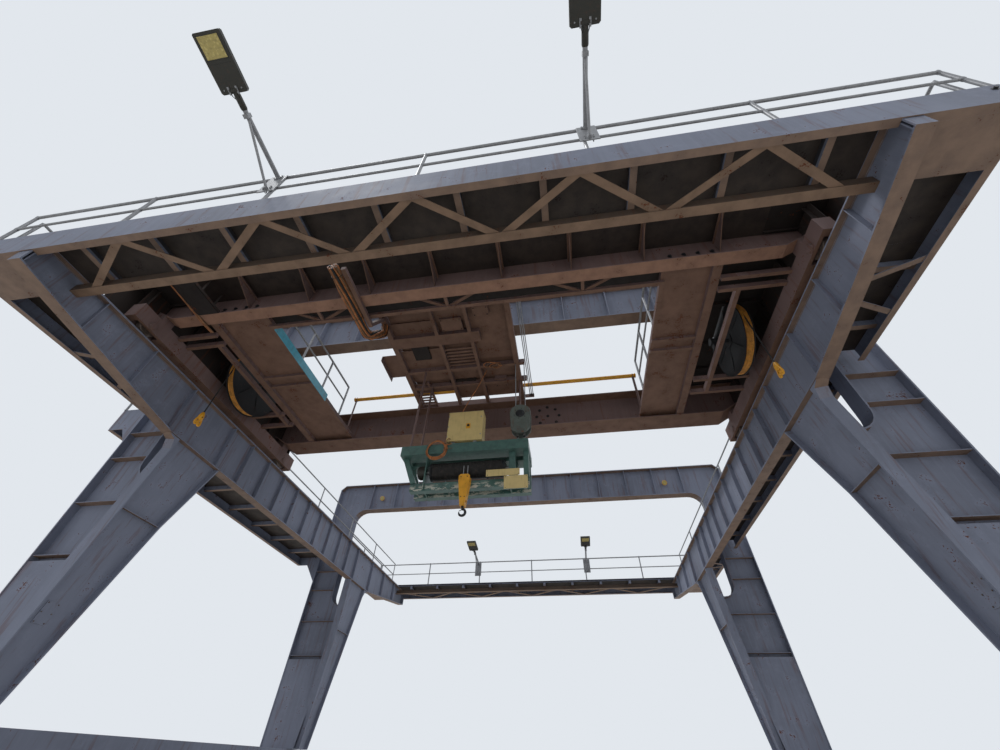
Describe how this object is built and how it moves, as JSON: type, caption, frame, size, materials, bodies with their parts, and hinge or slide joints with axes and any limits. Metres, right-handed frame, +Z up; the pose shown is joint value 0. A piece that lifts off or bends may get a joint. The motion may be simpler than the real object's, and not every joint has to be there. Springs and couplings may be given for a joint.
{
  "type": "rubber tyred gantry crane",
  "caption": "Gantry crane on rubber tyres with two portal frames, two runway girders with walkways, a travelling bridge, a trolley and an underslung hoist.",
  "frame": {"origin": "on the ground under the middle of the crane", "axes": "+X across the span to the right, +Y along the runway away from the front platform, +Z up"},
  "size_m": [13.88, 16.5, 8.95],
  "materials": {
    "frame_paint": "weathered grey paint",
    "bridge_paint": "weathered brown-grey paint",
    "galvanised": "dull galvanised",
    "tyre_rubber": "worn rubber",
    "dark_steel": "dark greased steel",
    "hoist_green": "satin green paint",
    "safety_yellow": "satin yellow paint",
    "cabinet_cream": "satin cream paint",
    "panel_teal": "satin teal paint",
    "cable_orange": "matt cable sheath",
    "wire_rope": "greased wire"
  },
  "bodies": {
    "frame": {"girder_left": "frame_paint", "girder_right": "frame_paint", "legs_front": "frame_paint", "legs_rear": "frame_paint", "arch_front": "frame_paint", "arch_rear": "frame_paint", "outer_legs_front": "frame_paint", "outer_legs_rear": "frame_paint", "sills": "frame_paint", "tyres": "tyre_rubber", "rims": "frame_paint", "platform_front": "frame_paint", "platform_rear": "frame_paint", "lattice_front": "frame_paint", "lattice_rear": "frame_paint", "walkway_left": "frame_paint", "walkway_right": "frame_paint", "rail_front": "galvanised", "rail_rear": "galvanised", "rail_left": "galvanised", "rail_right": "galvanised", "lamps_front": "galvanised", "lamps_rear": "galvanised"},
    "bridge": {"bridge_front": "bridge_paint", "bridge_rear": "bridge_paint", "bridge_walkway": "bridge_paint", "bridge_truss": "bridge_paint", "carriages": "bridge_paint", "bridge_wheels": "dark_steel", "ties": "bridge_paint", "outriggers": "bridge_paint", "bridge_rails": "galvanised", "guard_pipe": "safety_yellow", "side_panel": "panel_teal", "reels": "dark_steel", "pendants": "safety_yellow"},
    "trolley": {"trolley_frame": "bridge_paint", "trolley_wheels": "dark_steel", "trolley_ropes": "wire_rope", "trolley_cables": "cable_orange", "hoist_frame": "hoist_green", "hoist_drum": "dark_steel", "cabinet": "cabinet_cream", "sheave_block": "dark_steel"},
    "hook": {"hook_block": "safety_yellow", "hook": "dark_steel", "hook_ropes": "wire_rope"}
  },
  "joints": [
    {"name": "bridge_travel", "type": "slide", "parent": "frame", "child": "bridge", "axis": [0, 1, 0], "range_m": [-0.9, 7.3]},
    {"name": "trolley_travel", "type": "slide", "parent": "bridge", "child": "trolley", "axis": [1, 0, 0], "range_m": [-1.05, 2]},
    {"name": "hook_hoist", "type": "slide", "parent": "trolley", "child": "hook", "axis": [0, 0, 1], "range_m": [-4.2, 0], "deforming": ["hook_ropes"]}
  ]
}
